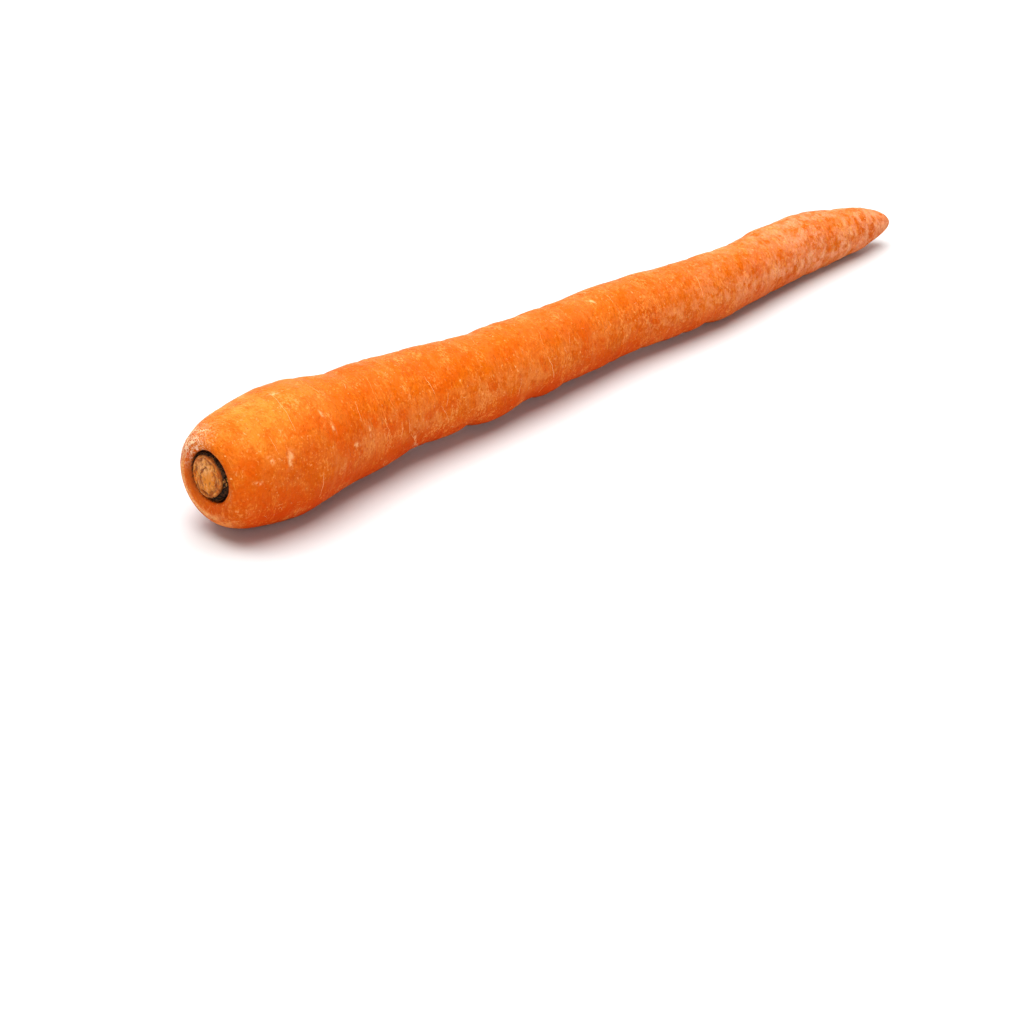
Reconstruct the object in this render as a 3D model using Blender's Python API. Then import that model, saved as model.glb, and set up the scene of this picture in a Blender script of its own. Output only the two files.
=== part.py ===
"""A fresh topped carrot, lying on its side on a flat surface.

The root runs along +X from its crown to its tip, +Z is up, and the surface it lies on is at Z = 0.
It is built from three pieces, as it grows:

taproot             the orange root, with a dished crown and a socket in it
leaf_base_collar    the dry, ragged bases of the outer leaves, a dark ring in the socket
leaf_stalk_stub     the cut stub of the leaf stalks, nested sheaths round a heart

Distances along the root are measured from the rim of the crown, and angles round it from the top (0)
towards -Y (90), the underside (180) and +Y (270).
"""

import math
import random

import bmesh
import bpy
from mathutils import Vector

MM = 0.001

# Driving dimensions
LENGTH = 235.8 * MM
SHOULDER_DIAMETER = 31.0 * MM
SHOULDER_AT = 21.5 * MM  # where the root is thickest
RIM_RADIUS = 8.2 * MM  # the rounded edge of the crown, round its dish
NOSE_LENGTH = 35.8 * MM  # the blunt tip, half of an ellipsoid
SOCKET_RADIUS = 6.4 * MM
SOCKET_FLOOR = 3.9 * MM
GAP = 0.3 * MM  # between the pieces in the crown

# Diameter along the root as (distance, share of the shoulder's diameter), as far as the nose
TAPER = (
    (SHOULDER_AT, 1.000),
    (33 * MM, 0.932),
    (43 * MM, 0.847),
    (60 * MM, 0.766),
    (85 * MM, 0.694),
    (110 * MM, 0.639),
    (140 * MM, 0.592),
    (165 * MM, 0.557),
    (182 * MM, 0.531),
    (LENGTH - NOSE_LENGTH, 0.516),
)

# The centreline as (distance, sideways offset) and (distance, height)
BEND = (
    (0, 0.0),
    (20 * MM, 0.6 * MM),
    (40 * MM, 1.4 * MM),
    (56 * MM, 1.6 * MM),
    (80 * MM, 0.8 * MM),
    (97 * MM, 0.5 * MM),
    (115 * MM, 1.5 * MM),
    (130 * MM, 2.2 * MM),
    (145 * MM, 1.4 * MM),
    (162 * MM, 0.6 * MM),
    (180 * MM, 1.7 * MM),
    (200 * MM, 3.5 * MM),
    (211 * MM, 3.8 * MM),
    (224 * MM, 2.8 * MM),
    (LENGTH, 0.0),
)
HEIGHT = (
    (0, 15.9 * MM),
    (SHOULDER_AT, 15.2 * MM),
    (60 * MM, 13.4 * MM),
    (117 * MM, 11.2 * MM),
    (165 * MM, 9.2 * MM),
    (LENGTH - NOSE_LENGTH, 7.8 * MM),
    (LENGTH, 6.2 * MM),
)

# How far things are off the centreline at the crown, as (sideways, up): its rim, which fades into
# the shoulder, its socket, and the stub in the socket
RIM_OFFSET = (0.0, -0.2 * MM)
RIM_FADE = 12 * MM
SOCKET_OFFSET = (-0.4 * MM, 0.65 * MM)
STUB_OFFSET = (-0.05 * MM, 0.95 * MM)

# Inside of the crown as (distance, radius), from the middle of the socket's floor out to the rim
CROWN_PROFILE = (
    (SOCKET_FLOOR, 2.2 * MM),
    (SOCKET_FLOOR, 4.9 * MM),
    (SOCKET_FLOOR - 0.15 * MM, SOCKET_RADIUS - 0.25 * MM),
    (3.2 * MM, SOCKET_RADIUS - 0.1 * MM),
    (1.2 * MM, SOCKET_RADIUS - 0.05 * MM),
    (0.72 * MM, SOCKET_RADIUS + 0.07 * MM),
    (0.46 * MM, SOCKET_RADIUS + 0.36 * MM),
    (0.2 * MM, SOCKET_RADIUS + 0.95 * MM),
)
LIP_RIPPLE = ((3, 1.0, 0.06 * MM), (7, 2.0, 0.04 * MM), (11, 0.0, 0.03 * MM))

# Swellings and hollows as (distance, angle, half arc, height, half length): degrees round, and mm
SWELLINGS = (
    (4, 143, 50, 0.5, 9),
    (14, 323, 60, -0.65, 10),
    (24, 143, 50, 0.4, 9),
    (29, 323, 45, 0.3, 7),
    (38, 323, 50, -0.85, 7),
    (47, 150, 45, 0.4, 8),
    (53, 323, 50, 0.4, 7),
    (61, 143, 40, -0.6, 6),
    (68, 330, 40, 0.3, 5),
    (77, 143, 30, -0.8, 2.5),
    (85, 143, 36, 0.9, 6),
    (86, 323, 50, -0.4, 7),
    (94, 323, 40, 0.3, 4),
    (97, 143, 45, -0.5, 5),
    (103, 146, 30, 0.5, 3),
    (109, 143, 30, -0.3, 2),
    (119, 323, 50, -0.3, 6),
    (124, 143, 45, 0.4, 10),
    (129, 320, 45, 0.25, 5),
    (143, 320, 40, 0.4, 5),
    (162, 143, 30, -0.7, 2.5),
    (168, 143, 40, 0.4, 7),
    (178, 323, 55, -0.4, 8),
    (191, 330, 45, 0.25, 6),
    (207, 323, 50, 0.3, 5),
    (220, 323, 60, -0.4, 7),
    (225, 143, 60, 0.4, 4),
)

# Swellings of the sides that nothing above shapes, and the creases that ring the root
BACK_SWELLINGS = 22
BACK_HEIGHT = 0.4
CREASES = 21
CREASE_DEPTH = (0.22, 0.5)
CREASE_HALF_WIDTH = 1.3 * MM
CREASE_FROM = 26 * MM
CREASE_TO = LENGTH - 14 * MM
WAVER = 0.9 * MM  # how far a crease strays along the root on its way round

SIDES = 44
LONGEST_STATION = 4.4 * MM
NOSE_STEPS = 11
SHOULDER_STEPS = 8

STUB_RADIUS = 4.85 * MM
STUB_HEIGHT = 3.4 * MM
STUB_SIDES = 48
COLLAR_SIDES = 72
COLLAR_FRAY = 0.28 * MM
# Section of the collar as (depth from the rim, share of the way from its inside to its outside,
# share of its fraying)
COLLAR_SECTION = (
    (SOCKET_FLOOR - GAP, 0.0, 0),
    (SOCKET_FLOOR - GAP, 0.4, 0),
    (SOCKET_FLOOR - GAP - 0.6 * MM, 1.0, 0),
    (1.5 * MM, 1.0, 0.3),
    (1.0 * MM, 0.7, 0.8),
    (0.55 * MM, 0.3, 1),
    (0.75 * MM, 0.0, 0.6),
    (2.0 * MM, 0.0, 0),
)
# Nested sheaths of the stub as (share of its radius, rise above or below its cut face)
STUB_FACE = (
    (0.93, 0.10 * MM),
    (0.84, 0.32 * MM),
    (0.76, 0.10 * MM),
    (0.70, -0.22 * MM),
    (0.60, 0.18 * MM),
    (0.45, 0.36 * MM),
    (0.36, 0.02 * MM),
    (0.24, 0.34 * MM),
)

TAPROOT_COLOUR = (0.86, 0.23, 0.02, 1)
COLLAR_COLOUR = (0.03, 0.025, 0.015, 1)
STUB_COLOUR = (0.42, 0.20, 0.06, 1)


def smooth(points, at):
    """The value at a distance, on a curve through the points that never overshoots them."""
    xs, ys = zip(*points)
    at = min(max(at, xs[0]), xs[-1])
    i = max(k for k in range(len(xs) - 1) if xs[k] <= at)
    slopes = [(ys[k + 1] - ys[k]) / (xs[k + 1] - xs[k]) for k in range(len(xs) - 1)]

    def tangent(k):
        if k in (0, len(xs) - 1):
            return slopes[0 if k == 0 else -1]
        before, after = slopes[k - 1], slopes[k]
        return 0 if before * after <= 0 else 2 * before * after / (before + after)

    step = xs[i + 1] - xs[i]
    t = (at - xs[i]) / step
    start, end = ys[i], ys[i + 1]
    return (
        start * (1 + 2 * t) * (1 - t) ** 2
        + end * t * t * (3 - 2 * t)
        + step * tangent(i) * t * (1 - t) ** 2
        - step * tangent(i + 1) * t * t * (1 - t)
    )


def centre(distance):
    """The centreline's point at a distance from the crown's rim."""
    return Vector((distance - LENGTH / 2, smooth(BEND, distance), smooth(HEIGHT, distance)))


def radius(distance):
    """The plain taper: a rounded shoulder, a slender body and a blunt nose."""
    shoulder_radius = SHOULDER_DIAMETER / 2
    if distance < SHOULDER_AT:
        reach = (SHOULDER_AT - distance) / SHOULDER_AT
        return RIM_RADIUS + (shoulder_radius - RIM_RADIUS) * math.sqrt(max(0, 1 - reach * reach))
    nose_at = LENGTH - NOSE_LENGTH
    if distance < nose_at:
        return shoulder_radius * smooth(TAPER, distance)
    reach = (distance - nose_at) / NOSE_LENGTH
    return shoulder_radius * TAPER[-1][1] * math.sqrt(max(0, 1 - reach * reach))


def turn_between(angle, other):
    """The smaller angle between two directions round the root, in radians."""
    return abs((angle - other + math.pi) % (2 * math.pi) - math.pi)


def all_swellings():
    """Every swelling in metres and radians: the listed ones, and seeded ones on the far side."""
    rng = random.Random(11)
    listed = list(SWELLINGS)
    for k in range(BACK_SWELLINGS):
        at = 14 + (LENGTH / MM - 30) * (k + rng.uniform(0.1, 0.9)) / BACK_SWELLINGS
        height = BACK_HEIGHT * rng.uniform(0.5, 1) * rng.choice((-1, 1))
        listed.append((at, rng.uniform(190, 280), rng.uniform(30, 50), height, rng.uniform(4, 9)))
    return [
        (at * MM, math.radians(angle), math.radians(arc), height * MM, reach * MM)
        for at, angle, arc, height, reach in listed
    ]


def all_creases():
    """Each crease as (distance, depth, middle of its arc, half arc), evenly spread with some play."""
    rng = random.Random(5)
    step = (CREASE_TO - CREASE_FROM) / CREASES
    return [
        (
            CREASE_FROM + step * (k + rng.uniform(0.15, 0.85)),
            rng.uniform(*CREASE_DEPTH) * MM,
            rng.uniform(0, 2 * math.pi),
            rng.uniform(1.0, 2.4),
        )
        for k in range(CREASES)
    ]


def relief(distance, angle, swellings, creases):
    """How far the skin stands out from the plain taper."""
    height = 0
    for at, middle, arc, swell, reach in swellings:
        along = (distance - at) / reach
        if abs(along) < 3:
            around = turn_between(angle, middle) / arc
            height += swell * math.exp(-along * along - around * around)
    for at, depth, middle, arc in creases:
        along = (distance - at) / CREASE_HALF_WIDTH
        if abs(along) < 3:
            around = turn_between(angle, middle) / arc
            height -= depth * math.exp(-along * along) / (1 + around**6)
    return height * min(1, radius(distance) / (4 * MM))


def stations(creases):
    """Distances of the body's rings: three at each crease, and more between them."""
    marks = {SHOULDER_AT, LENGTH - NOSE_LENGTH / 2}
    for at, *_ in creases:
        marks |= {at - CREASE_HALF_WIDTH, at, at + CREASE_HALF_WIDTH}
    marks = sorted(mark for mark in marks if mark <= LENGTH - NOSE_LENGTH / 2)
    spread = []
    for start, end in zip(marks, marks[1:]):
        parts = max(1, math.ceil((end - start) / LONGEST_STATION))
        spread += [start + (end - start) * k / parts for k in range(parts)]
    return spread + [marks[-1]]


def axes(distance):
    """Unit vectors along the root, up across it and towards the front, at a distance."""
    step = 2 * MM
    along = (centre(distance + step) - centre(distance - step)).normalized()
    front = along.cross(Vector((0, 0, 1))).normalized()
    return along, front.cross(along), front


def rim_shift(distance):
    """How far the skin's middle is off the centreline, fading out along the shoulder."""
    fade = min(1, max(0, 1 - distance / RIM_FADE))
    fade = fade * fade * (3 - 2 * fade)
    return Vector((0, *RIM_OFFSET)) * fade


def inner_shift(ring_radius):
    """The same inside the crown: the socket's offset, going over to the rim's across the dish."""
    share = min(1, max(0, (ring_radius - SOCKET_RADIUS) / (RIM_RADIUS - SOCKET_RADIUS)))
    return Vector((0, *SOCKET_OFFSET)).lerp(Vector((0, *RIM_OFFSET)), share)


def ring(distance, ring_radius, skin):
    """The points of one ring. skin(distance, angle) is the relief, or None inside the crown."""
    _, up, front = axes(distance)
    middle = centre(distance) + (rim_shift(distance) if skin else inner_shift(ring_radius))
    points = []
    for k in range(SIDES):
        angle = 2 * math.pi * k / SIDES
        at, out = middle, ring_radius
        if not skin and distance < SOCKET_FLOOR / 2:
            out += sum(size * math.sin(lobes * angle + phase) for lobes, phase, size in LIP_RIPPLE)
        if skin:
            out += skin(distance, angle)
            swing = WAVER * math.sin(angle + distance / (19 * MM)) * min(1, ring_radius / (15 * MM))
            inside = min(1, max(0, (distance - 8 * MM) / (12 * MM)))
            at = middle + Vector((swing * inside, 0, 0))
        point = at + (up * math.cos(angle) + front * math.sin(angle)) * out
        point.z = max(point.z, 0)
        points.append(point)
    return points


def skinned(name, rings, start, end, colour, roughness):
    """One closed solid through the rings, which run from a start point to an end point."""
    mesh = bmesh.new()
    loops = [[mesh.verts.new(point) for point in points] for points in rings]
    first, last = mesh.verts.new(start), mesh.verts.new(end)
    sides = len(loops[0])
    for k in range(sides):
        after = (k + 1) % sides
        mesh.faces.new((first, loops[0][after], loops[0][k]))
        mesh.faces.new((last, loops[-1][k], loops[-1][after]))
        for before, later in zip(loops, loops[1:]):
            mesh.faces.new((before[k], before[after], later[after], later[k]))
    bmesh.ops.recalc_face_normals(mesh, faces=mesh.faces)
    data = bpy.data.meshes.new(name)
    mesh.to_mesh(data)
    mesh.free()
    data.shade_smooth()
    data.set_sharp_from_angle(angle=math.radians(50))
    data.materials.append(material(name, colour, roughness))
    piece = bpy.data.objects.new(name, data)
    bpy.context.scene.collection.objects.link(piece)
    return piece


def material(name, colour, roughness):
    made = bpy.data.materials.new(name)
    made.use_nodes = True
    shader = made.node_tree.nodes["Principled BSDF"]
    shader.inputs["Base Color"].default_value = colour
    shader.inputs["Roughness"].default_value = roughness
    shader.inputs["Metallic"].default_value = 0
    return made


def taproot():
    """The root: up the socket's wall, over the crown's rim, and down the body to the tip."""
    swellings, creases = all_swellings(), all_creases()

    def skin(distance, angle):
        return relief(distance, angle, swellings, creases)

    rings = [ring(distance, inner, None) for distance, inner in CROWN_PROFILE]
    for k in range(SHOULDER_STEPS):
        distance = SHOULDER_AT * (1 - math.cos(math.pi / 2 * k / SHOULDER_STEPS))
        rings.append(ring(distance, radius(distance), skin))
    rings += [ring(distance, radius(distance), skin) for distance in stations(creases)]
    halfway = math.asin(0.5)
    for k in range(1, NOSE_STEPS):
        bearing = halfway + (math.pi / 2 - halfway) * k / NOSE_STEPS
        distance = LENGTH - NOSE_LENGTH * (1 - math.sin(bearing))
        rings.append(ring(distance, radius(distance), skin))
    floor = centre(SOCKET_FLOOR) + inner_shift(0)
    return skinned("taproot", rings, floor, centre(LENGTH), TAPROOT_COLOUR, 0.4)


def in_crown(depth, out, angle, offset):
    """A point in the crown: depth inward from the rim, and out from an axis at an offset."""
    along, up, front = axes(0)
    middle = centre(0) + Vector((0, *offset)) + along * depth
    return middle + (up * math.cos(angle) + front * math.sin(angle)) * out


def leaf_base_collar():
    """The frayed dark ring round the stub: each side of it ends at its own height, as torn sheaths do."""
    rng = random.Random(3)
    mesh = bmesh.new()
    loops = []
    for k in range(COLLAR_SIDES):
        angle = 2 * math.pi * k / COLLAR_SIDES
        fray = rng.uniform(-COLLAR_FRAY, COLLAR_FRAY)
        loop = []
        for depth, share, frayed in COLLAR_SECTION:
            at = depth - fray * frayed
            inside = in_crown(at, STUB_RADIUS + GAP, angle, STUB_OFFSET)
            outside = in_crown(at, SOCKET_RADIUS - 0.15 * MM - GAP, angle, SOCKET_OFFSET)
            loop.append(mesh.verts.new(inside.lerp(outside, share)))
        loops.append(loop)
    for k, loop in enumerate(loops):
        after = loops[(k + 1) % COLLAR_SIDES]
        for i in range(len(COLLAR_SECTION)):
            j = (i + 1) % len(COLLAR_SECTION)
            mesh.faces.new((loop[i], loop[j], after[j], after[i]))
    bmesh.ops.recalc_face_normals(mesh, faces=mesh.faces)
    data = bpy.data.meshes.new("leaf_base_collar")
    mesh.to_mesh(data)
    mesh.free()
    data.materials.append(material("leaf_base_collar", COLLAR_COLOUR, 0.9))
    piece = bpy.data.objects.new("leaf_base_collar", data)
    bpy.context.scene.collection.objects.link(piece)
    return piece


def leaf_stalk_stub():
    """The cut stub: a short stem whose face shows the sheaths of the leaves, one in another."""
    rng = random.Random(8)
    foot = SOCKET_FLOOR - GAP
    waves = [(rng.randint(2, 7), rng.uniform(0, 2 * math.pi)) for _ in STUB_FACE]
    side = ((0, 0.90), (0.3, 0.97), (0.75, 1.0), (0.93, 0.99))

    def loop(rise, share, lobes=3, phase=0.0, bite=0.0):
        points = []
        for k in range(STUB_SIDES):
            angle = 2 * math.pi * k / STUB_SIDES
            wave = math.sin(lobes * angle + phase)
            out = STUB_RADIUS * share * (1 - 0.015 * (1 + wave))
            points.append(in_crown(foot - rise - bite * wave, out, angle, STUB_OFFSET))
        return points

    rings = [loop(STUB_HEIGHT * rise, share) for rise, share in side]
    for (share, rise), (lobes, phase) in zip(STUB_FACE, waves):
        rings.append(loop(STUB_HEIGHT + rise, share, lobes, phase, 0.07 * MM))
    bottom = in_crown(foot, 0, 0, STUB_OFFSET)
    top = in_crown(foot - STUB_HEIGHT - 0.3 * MM, 0, 0, STUB_OFFSET)
    return skinned("leaf_stalk_stub", rings, bottom, top, STUB_COLOUR, 0.7)


def centre_on_origin(pieces):
    """Slides the carrot so that the middle of its footprint is over the origin."""
    corners = [piece.matrix_world @ vertex.co for piece in pieces for vertex in piece.data.vertices]
    for axis in (0, 1):
        values = [corner[axis] for corner in corners]
        shift = (min(values) + max(values)) / 2
        for piece in pieces:
            for vertex in piece.data.vertices:
                vertex.co[axis] -= shift


def main():
    for thing in list(bpy.data.objects):
        bpy.data.objects.remove(thing)
    centre_on_origin([taproot(), leaf_base_collar(), leaf_stalk_stub()])


main()
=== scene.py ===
"""The looks of a fresh topped carrot, lying on its side on a pale floor.

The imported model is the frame. Its three solids are replaced by fine surfaces of the same shape, with
procedural materials, and thin pale fibres and hairs lie on the skin. Distances along the root are in
millimetres from the rim of the crown, and angles round it run from the top (0) towards -Y (90), the
underside (180) and +Y (270).
"""

import math
import random

import bpy
import numpy as np
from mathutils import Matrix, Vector, noise


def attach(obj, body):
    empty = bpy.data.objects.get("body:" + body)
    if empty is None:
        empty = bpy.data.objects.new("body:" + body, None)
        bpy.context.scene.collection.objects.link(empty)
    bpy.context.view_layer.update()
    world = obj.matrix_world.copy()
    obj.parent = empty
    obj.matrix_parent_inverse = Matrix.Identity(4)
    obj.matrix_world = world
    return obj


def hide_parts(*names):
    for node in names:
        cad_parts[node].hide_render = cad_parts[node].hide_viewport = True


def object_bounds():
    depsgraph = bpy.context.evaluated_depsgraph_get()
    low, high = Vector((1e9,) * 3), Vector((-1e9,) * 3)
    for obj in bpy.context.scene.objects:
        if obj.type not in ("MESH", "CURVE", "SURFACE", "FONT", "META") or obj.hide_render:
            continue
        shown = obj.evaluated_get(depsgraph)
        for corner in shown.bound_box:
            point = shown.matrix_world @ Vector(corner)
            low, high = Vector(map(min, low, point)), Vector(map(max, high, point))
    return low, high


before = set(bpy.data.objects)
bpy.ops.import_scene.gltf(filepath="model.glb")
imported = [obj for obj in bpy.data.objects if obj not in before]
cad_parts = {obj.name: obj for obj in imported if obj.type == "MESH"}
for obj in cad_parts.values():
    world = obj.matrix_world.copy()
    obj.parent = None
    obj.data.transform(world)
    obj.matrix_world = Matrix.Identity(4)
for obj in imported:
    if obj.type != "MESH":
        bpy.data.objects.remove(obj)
cad_low, cad_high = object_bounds()

MM = 0.001

# ---- The shape of the root, in millimetres: the same rules as the solid's

LENGTH = 235.8
SHOULDER_RADIUS = 15.5
SHOULDER_AT = 21.5
RIM_RADIUS = 8.2
NOSE_LENGTH = 35.8
SOCKET_RADIUS = 6.4
SOCKET_FLOOR = 3.9
GAP = 0.3
# (distance, share of the shoulder's radius)
TAPER = (
    (SHOULDER_AT, 1.000), (33, 0.932), (43, 0.847), (60, 0.766), (85, 0.694), (110, 0.639),
    (140, 0.592), (165, 0.557), (182, 0.531), (LENGTH - NOSE_LENGTH, 0.516),
)
# (distance, how far the middle of the root lies towards +Y)
BEND = (
    (0, 0.0), (20, 0.6), (40, 1.4), (56, 1.6), (80, 0.8), (97, 0.5), (115, 1.5), (130, 2.2),
    (145, 1.4), (162, 0.6), (180, 1.7), (200, 3.5), (211, 3.8), (224, 2.8), (LENGTH, 0.0),
)
# (distance, how high the middle of the root lies)
HEIGHT = (
    (0, 15.9), (SHOULDER_AT, 15.2), (60, 13.4), (117, 11.2), (165, 9.2),
    (LENGTH - NOSE_LENGTH, 7.8), (LENGTH, 6.2),
)
RIM_OFFSET = (0.0, -0.2)
RIM_FADE = 12
SOCKET_OFFSET = (-0.4, 0.65)
# (distance, radius) from the floor of the socket out to the rim
CROWN_PROFILE = (
    (SOCKET_FLOOR, 0.6), (SOCKET_FLOOR, 4.9), (SOCKET_FLOOR - 0.15, SOCKET_RADIUS - 0.25),
    (3.2, SOCKET_RADIUS - 0.1), (1.2, SOCKET_RADIUS - 0.05), (0.72, SOCKET_RADIUS + 0.07),
    (0.46, SOCKET_RADIUS + 0.36), (0.2, SOCKET_RADIUS + 0.95), (0, RIM_RADIUS),
)
# (lobes, phase, height)
LIP_RIPPLE = ((3, 1.0, 0.06), (7, 2.0, 0.04), (11, 0.0, 0.03))
# (distance, angle, half width in degrees, height, reach along the root)
SWELLINGS = (
    (4, 143, 50, 0.5, 9), (14, 323, 60, -0.65, 10), (24, 143, 50, 0.4, 9), (29, 323, 45, 0.3, 7),
    (38, 323, 50, -0.85, 7), (47, 150, 45, 0.4, 8), (53, 323, 50, 0.4, 7), (61, 143, 40, -0.6, 6),
    (68, 330, 40, 0.3, 5), (77, 143, 30, -0.8, 2.5), (85, 143, 36, 0.9, 6),
    (86, 323, 50, -0.4, 7), (94, 323, 40, 0.3, 4), (97, 143, 45, -0.5, 5), (103, 146, 30, 0.5, 3),
    (109, 143, 30, -0.3, 2), (119, 323, 50, -0.3, 6), (124, 143, 45, 0.4, 10),
    (129, 320, 45, 0.25, 5), (143, 320, 40, 0.4, 5), (162, 143, 30, -0.7, 2.5),
    (168, 143, 40, 0.4, 7), (178, 323, 55, -0.4, 8), (191, 330, 45, 0.25, 6),
    (207, 323, 50, 0.3, 5), (220, 323, 60, -0.4, 7), (225, 143, 60, 0.4, 4),
)
BACK_SWELLINGS = 22
BACK_HEIGHT = 0.4
CREASES = 21
CREASE_DEPTH = (0.14, 0.32)
CREASE_HALF_WIDTH = 1.3
CREASE_FROM = 26
CREASE_TO = LENGTH - 14
# Where the root is thinner than this, its relief dies out
THIN_RADIUS = 4
# How far the rings lean to and fro along the root, and how that turns and sets in
WAVER = 0.9
WAVER_TWIST = 19
WAVER_FROM = 8
WAVER_OVER = 12
WAVER_RADIUS = 15
STUB_HEIGHT = 3.4

# ---- The fine surface, in millimetres

BOX_MARGIN = 0.005
SIDES = 200
CROWN_RINGS = 34
SHOULDER_RINGS = 44
NOSE_RINGS = 30
NOSE_SPLIT = 0.5
BODY_STEP = 0.53
FINE_CREASES = 130
LENTICELS = 170
LIP_DEPTH = 2.2
LIP_FADE = 0.8
# Noise in the skin as (size along it, size round it, height, place in the noise)
RUMPLES = ((6.5, 9, 0.13, 0), (1.4, 2.6, 0.045, 7))

# ---- What shows where on the skin, in millimetres and degrees

# Directions round the root as (middle, half width)
NEAR_FLANK = (87, 36)
FAR_FLANK = (268, 50)
# The top back edge, where a grazing reflection is painted as pale veil
BACK_EDGE_SHEEN = (-32, 44)
# The top, where painted light makes the orange lighter and yellower
LIT_TOP_DIRECTION = (12, 75)
# The crown's far side, where a rim highlight is painted
CREST = (226, 84)
# The socket's far wall, where shade is painted reddish brown
SOCKET_WALL_SHADE = (250, 80)
# Patches as (distance, reach along the root, middle direction, half width)
LOWER_CROWN_BAND = (1.0, 2.6, 140, 66)
# Painted light: lighter, yellower patches on top of the crown and the neck
LIT_CROWN_PATCH = (11, 8, 10, 75)
LIT_NECK_PATCH = (24, 6, 22, 45)
CLEAN_CROWN = (6, 10, 92, 66)
FLAKY_CROWN = (0, 3.2, 318, 62)
LOWER_EDGE = (3.2, 2.2, 172, 34)
TIP_REACH = 0.4
CREST_OUT = 0.6
CREST_REACH = 0.66
SOCKET_WALL_SHADE_RADIUS = 8.3
# Where the skin begins to count as far along the root, and over what length that sets in. The same
# for the painted shade on the underside, in radians from the top
FAR_FROM = 125
FAR_OVER = 75
UNDERSIDE_SHADE_FROM = 1.62
UNDERSIDE_SHADE_OVER = 0.5
# Small pale scars as (distance, angle, half length along the root, half width round it, slant)
SCARS = (
    (12.8, 68, 0.5, 2.1, -0.30), (4.6, 80, 0.7, 0.5, 0), (8.5, 62, 0.28, 1.0, 0.2),
    (19.5, 2, 0.8, 0.6, 0), (25.4, 42, 0.32, 1.1, 0.1), (27.0, 57, 0.30, 1.5, 0.1),
    (33.8, 80, 0.7, 0.6, 0), (39.5, 74, 0.30, 1.3, 0), (57.0, 113, 0.35, 2.6, 0.45),
    (122.5, 18, 0.5, 0.8, 0.3), (96.0, 262, 0.5, 1.6, -0.2), (41.0, 231, 0.6, 1.4, 0.3),
    (150.0, 196, 0.5, 1.5, 0.2),
)

# ---- Fibres and hairs, in millimetres and degrees

# Fibres with a place of their own as (distance, angle, end distance, end angle, thickness)
LAID_FIBRES = (
    (19.3, -6, 16.7, 46, 0.032), (10.5, 330, 3.0, 296, 0.06), (45.2, 66, 47.0, 92, 0.035),
    (54.0, 96, 58.4, 121, 0.06), (65.0, 78, 67.5, 104, 0.04), (62.5, 40, 64.0, 62, 0.03),
    (99.5, 68, 101.5, 104, 0.035), (128.0, 12, 127.5, 34, 0.03), (147.0, 24, 148.5, 52, 0.035),
    (156.5, 30, 157.0, 70, 0.035), (33.0, 196, 35.5, 240, 0.045), (74.0, 210, 76.0, 250, 0.04),
    (110.0, 232, 112.5, 276, 0.04), (181.0, 255, 180.0, 290, 0.04),
)
SCATTERED_FIBRES = 90
CROWN_FLAKES = 46
LOOSE_HAIRS = 420
HAIR_STEPS = 7
HAIR_CURL = 0.28
# Tufts as (distance, angle, number of hairs, spread)
HAIR_TUFTS = ((57.6, 120, 9, 0.5), (7.0, 322, 12, 2.0), (26.0, 148, 8, 2.0), (3.0, 290, 9, 1.5))

# ---- The collar and the stub, in millimetres and degrees

COLLAR_SIDES = 180
# The ring's outline as (depth, share of the way out, how far its tears move it)
COLLAR_SECTION = (
    (SOCKET_FLOOR - GAP, 0.0, 0), (SOCKET_FLOOR - GAP, 0.4, 0), (SOCKET_FLOOR - GAP - 0.6, 1.0, 0),
    (2.2, 1.0, 0), (1.5, 1.0, 0.3), (1.2, 0.85, 0.6), (1.0, 0.7, 0.8), (0.75, 0.5, 1),
    (0.6, 0.3, 1), (0.6, 0.12, 0.9), (0.75, 0.0, 0.6), (1.3, 0.0, 0.2), (2.4, 0.0, 0),
)
SHREDS = 320
SHRED_TAPER = (1, 1, 0.95, 0.8, 0.55, 0.2)
PALE_TAPER = (0.5, 0.9, 1, 1, 0.8, 0.4)
# The pale bits among the shreds as (angle, share of the way out, depth, length, thickness, tone)
PALE_SHREDS = (
    (86, 0.15, 0.70, 1.0, 0.20, 1.03), (82, 0.45, 0.62, 1.1, 0.26, 0.97),
    (90, 0.70, 0.68, 0.9, 0.22, 1.01), (78, 0.85, 0.80, 1.0, 0.20, 1.05),
    (98, 0.35, 0.85, 0.8, 0.22, 0.85), (70, 0.40, 0.85, 0.9, 0.18, 0.80),
    (62, 0.80, 1.00, 0.6, 0.16, 0.95), (20, 0.50, 0.95, 0.5, 0.16, 0.90),
    (6, 0.10, 0.75, 1.3, 0.20, 0.85), (22, 0.14, 0.80, 1.4, 0.22, 0.78),
    (40, 0.12, 0.85, 1.3, 0.20, 0.72), (55, 0.14, 0.90, 1.0, 0.18, 0.70),
    (150, 0.30, 0.85, 1.0, 0.16, 0.66), (196, 0.50, 0.80, 1.0, 0.18, 0.98),
)
STUB_RINGS = 72
STUB_SIDES = 180
FACE_RADIUS = 5.05
FACE_OFFSET = (0.34, 0.68)
FACE_BULGE = 0.85
BULGE_SIDE = (198, 72)
# The stub's side as (share of its height, share of its width)
STUB_SIDE = ((0.0, 0.90), (0.25, 0.96), (0.55, 0.99), (0.8, 1.0), (0.93, 0.985))

# ---- Camera, floor and light, in degrees, metres and watts

CAMERA_AZIMUTH = -44.07
CAMERA_ELEVATION = 28.69
CAMERA_DISTANCE = 0.87297
CAMERA_AIM = (-0.07102, -0.05217, 0.010)
CAMERA_LENS = 135
CAMERA_SENSOR = 36
FLOOR_RADIUS = 0.6
FLOOR_SIDES = 128
# Lights as (name, place, aim, (width, height), power)
LIGHTS = (
    ("overhead", (-0.03, 0.10, 1.35), (-0.03, -0.02, 0), (1.8, 1.8), 37.6),
    ("behind", (1.05, 1.15, 0.50), (0, 0, 0.05), (3.0, 0.9), 10),
    ("front", (-0.75, -1.15, 0.55), (0, 0, 0.01), (1.8, 0.8), 7.5),
)
WORLD_GREY = 0.11


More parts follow.
